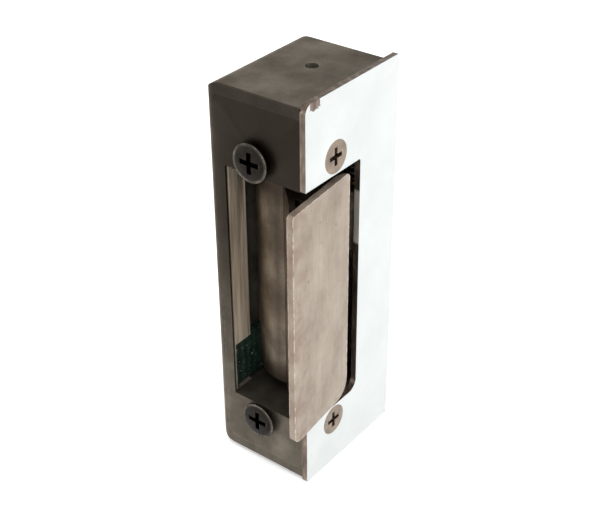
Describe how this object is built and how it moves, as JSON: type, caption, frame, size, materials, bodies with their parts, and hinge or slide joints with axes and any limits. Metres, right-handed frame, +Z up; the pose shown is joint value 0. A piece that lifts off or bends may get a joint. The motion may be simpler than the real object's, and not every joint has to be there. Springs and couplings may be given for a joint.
{
  "type": "electric_door_strike",
  "caption": "Electric door strike with a dark metal case, a white side cover plate, a swinging keeper and a solenoid plunger that blocks it",
  "frame": {"origin": "midway between the axes of the two faceplate screws, on the strike's front face", "axes": "+Z up along the strike, +Y back into the door frame, +X to the side where the keeper swings open"},
  "size_m": [0.0303, 0.0422, 0.1022],
  "materials": {
    "case_steel": "satin",
    "cast_zinc": "satin",
    "white_paint": "satin",
    "nickel_screw": "satin",
    "black_screw": "gloss",
    "keeper_steel": "brushed",
    "cradle_steel": "satin",
    "pin_steel": "polished",
    "brass": "satin",
    "spring_steel": "satin",
    "yoke_steel": "satin",
    "bobbin_plastic": "matte",
    "winding": "gloss",
    "lead_insulation": "satin",
    "board_green": "satin",
    "diode_black": "satin",
    "terminal_plastic": "matte"
  },
  "bodies": {
    "case": {"housing": "case_steel", "front_frame": "cast_zinc", "cover_plate": "white_paint", "cover_screws": "nickel_screw", "faceplate_screws": "black_screw", "housing_screws": "nickel_screw", "keeper_pin": "pin_steel", "keeper_spacers": "brass", "keeper_spring": "spring_steel", "solenoid_yoke": "yoke_steel", "yoke_screws": "nickel_screw", "solenoid_bobbin": "bobbin_plastic", "solenoid_winding": "winding", "solenoid_core": "pin_steel", "plunger_spring": "spring_steel", "coil_leads": "lead_insulation", "circuit_board": "board_green", "suppressor_diode": "diode_black", "terminal_block": "terminal_plastic", "terminal_clamps": "brass", "terminal_screws": "nickel_screw", "rear_cover": "yoke_steel", "rear_cover_screws": "nickel_screw"},
    "keeper": {"keeper_plate": "keeper_steel", "keeper_cradle": "cradle_steel"},
    "plunger": {"plunger": "pin_steel", "plunger_clip": "brass"}
  },
  "joints": [
    {"name": "keeper_swing", "type": "hinge", "parent": "case", "child": "keeper", "pos_m": [0.00105, 0.0194, 0], "axis": [0, 0, 1], "range_deg": [0, 22], "stiffness_Nm_per_rad": 0.03, "springref_deg": -5.16},
    {"name": "plunger_slide", "type": "slide", "parent": "case", "child": "plunger", "axis": [0, 0, 1], "range_m": [0, 0.0041], "deforming": ["plunger_spring"]}
  ],
  "couplings": [
    {"joint": "plunger_slide", "follows": "keeper_swing", "m_per_rad": 0.010417}
  ]
}
